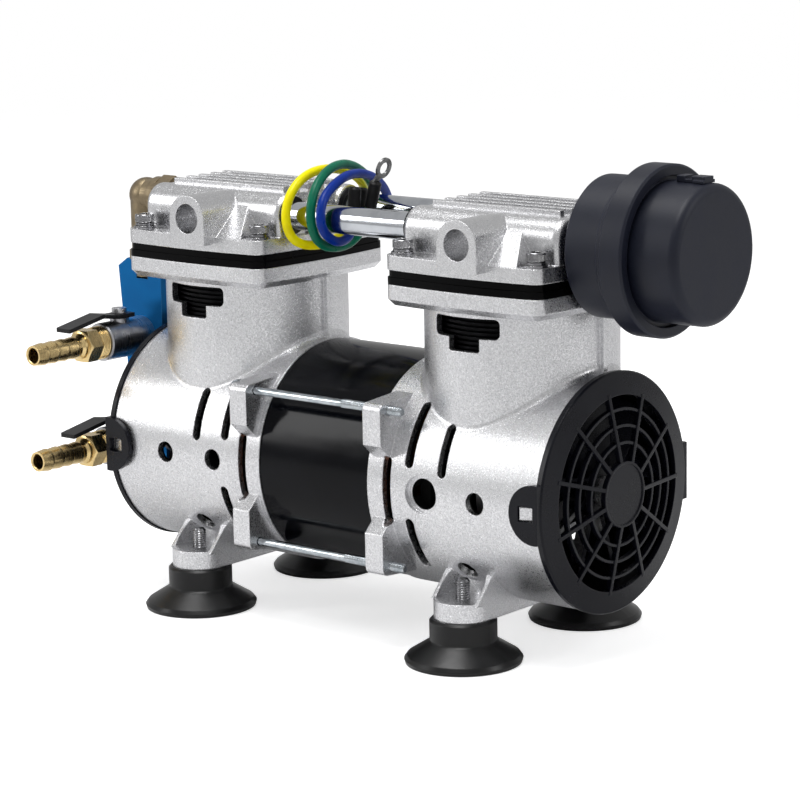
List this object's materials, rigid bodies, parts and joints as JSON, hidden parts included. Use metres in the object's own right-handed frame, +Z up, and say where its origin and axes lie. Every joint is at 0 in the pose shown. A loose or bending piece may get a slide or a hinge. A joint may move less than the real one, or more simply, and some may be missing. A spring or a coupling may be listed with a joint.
{
  "type": "twin-cylinder air pump",
  "caption": "Twin-cylinder rocking-piston air pump for pond aeration, with suction feet, intake filter, blue outlet manifold and ball-valved hose tails.",
  "frame": {"origin": "on the floor, midway between the four suction feet", "axes": "+X along the motor axis towards the intake filter, -Y the front with the hose tails and ports, +Z up along the cylinders"},
  "size_m": [0.3244, 0.1451, 0.2033],
  "materials": {
    "cast_aluminium": "cast, bead blasted, silver",
    "head_aluminium": "die cast, satin",
    "valve_steel": "ground",
    "bright_steel": "bright stainless",
    "zinc_plate": "zinc plated",
    "tube_chrome": "polished plate",
    "motor_black": "gloss black enamel",
    "core_steel": "laminated, oxidised",
    "copper_wire": "enamelled copper",
    "crank_iron": "machined casting",
    "rod_aluminium": "die cast",
    "sleeve_aluminium": "hard anodised, dark",
    "black_plastic": "moulded nylon, satin",
    "filter_plastic": "moulded, dark blue-black satin",
    "seal_black": "glossy black seal and plate edge",
    "foam": "open cell foam",
    "black_rubber": "smooth moulded rubber",
    "cup_seal": "filled fluoropolymer",
    "brass_bright": "turned",
    "brass_dark": "dull cast",
    "nickel": "nickel plated brass",
    "blue_anodised": "blue anodised aluminium",
    "lever_black": "charcoal moulded",
    "wire_yellow": "insulation",
    "wire_green": "insulation",
    "wire_blue": "insulation",
    "shrink_black": "heat shrunk sleeve",
    "tinned_copper": "tinned copper"
  },
  "bodies": {
    "frame": {"left_crankcase": "cast_aluminium", "right_crankcase": "cast_aluminium", "left_cylinder_sleeve": "sleeve_aluminium", "right_cylinder_sleeve": "sleeve_aluminium", "head_seals": "seal_black", "valve_plates": "seal_black", "reed_valves": "valve_steel", "left_head": "head_aluminium", "right_head": "head_aluminium", "head_bolts": "bright_steel", "head_washers": "bright_steel", "front_transfer_tube": "tube_chrome", "rear_transfer_tube": "tube_chrome", "tube_rings": "black_rubber", "stator_shell": "motor_black", "stator_core": "core_steel", "stator_windings": "copper_wire", "tie_rods": "zinc_plate", "left_fan_cover": "black_plastic", "right_fan_cover": "black_plastic", "suction_feet": "black_rubber", "foot_studs": "zinc_plate", "bearing_outer_races": "valve_steel", "intake_nipple": "brass_dark", "filter_base": "filter_plastic", "filter_cap": "filter_plastic", "filter_element": "foam", "filter_catch": "filter_plastic", "outlet_nipple": "brass_dark", "outlet_elbow": "brass_dark", "manifold_block": "blue_anodised", "upper_valve_body": "nickel", "lower_valve_body": "nickel", "upper_hose_barb": "brass_bright", "lower_hose_barb": "brass_bright", "yellow_lead": "wire_yellow", "green_lead": "wire_green", "blue_lead": "wire_blue", "lead_sleeves": "shrink_black", "ring_terminal": "tinned_copper", "lead_grommet": "black_rubber"},
    "shaft": {"motor_shaft": "valve_steel", "rotor": "core_steel", "eccentrics": "crank_iron", "cooling_fans": "black_plastic", "bearing_inner_races": "valve_steel", "bearing_balls": "valve_steel"},
    "left_rod": {"left_connecting_rod": "rod_aluminium", "left_rod_bearing": "valve_steel", "left_piston_cup": "cup_seal", "left_cup_retainer": "bright_steel"},
    "right_rod": {"right_connecting_rod": "rod_aluminium", "right_rod_bearing": "valve_steel", "right_piston_cup": "cup_seal", "right_cup_retainer": "bright_steel"},
    "upper_lever": {"upper_valve_lever": "lever_black", "upper_valve_ball": "nickel"},
    "lower_lever": {"lower_valve_lever": "lever_black", "lower_valve_ball": "nickel"}
  },
  "joints": [
    {"name": "shaft_spin", "type": "hinge", "parent": "frame", "child": "shaft", "pos_m": [0, 0, 0.0684], "axis": [1, 0, 0], "continuous": true},
    {"name": "left_rod_pivot", "type": "hinge", "parent": "shaft", "child": "left_rod", "pos_m": [-0.07375, 0, 0.0724], "axis": [1, 0, 0], "continuous": true},
    {"name": "right_rod_pivot", "type": "hinge", "parent": "shaft", "child": "right_rod", "pos_m": [0.07375, 0, 0.0644], "axis": [1, 0, 0], "continuous": true},
    {"name": "upper_valve_turn", "type": "hinge", "parent": "frame", "child": "upper_lever", "pos_m": [-0.142, -0.019, 0.1087], "axis": [0, 0, 1], "range_deg": [-90, 0]},
    {"name": "lower_valve_turn", "type": "hinge", "parent": "frame", "child": "lower_lever", "pos_m": [-0.142, -0.019, 0.061], "axis": [0, 0, 1], "range_deg": [-90, 0]}
  ],
  "couplings": [
    {"joint": "left_rod_pivot", "follows": "shaft_spin", "ratio": -1},
    {"joint": "right_rod_pivot", "follows": "shaft_spin", "ratio": -1}
  ]
}
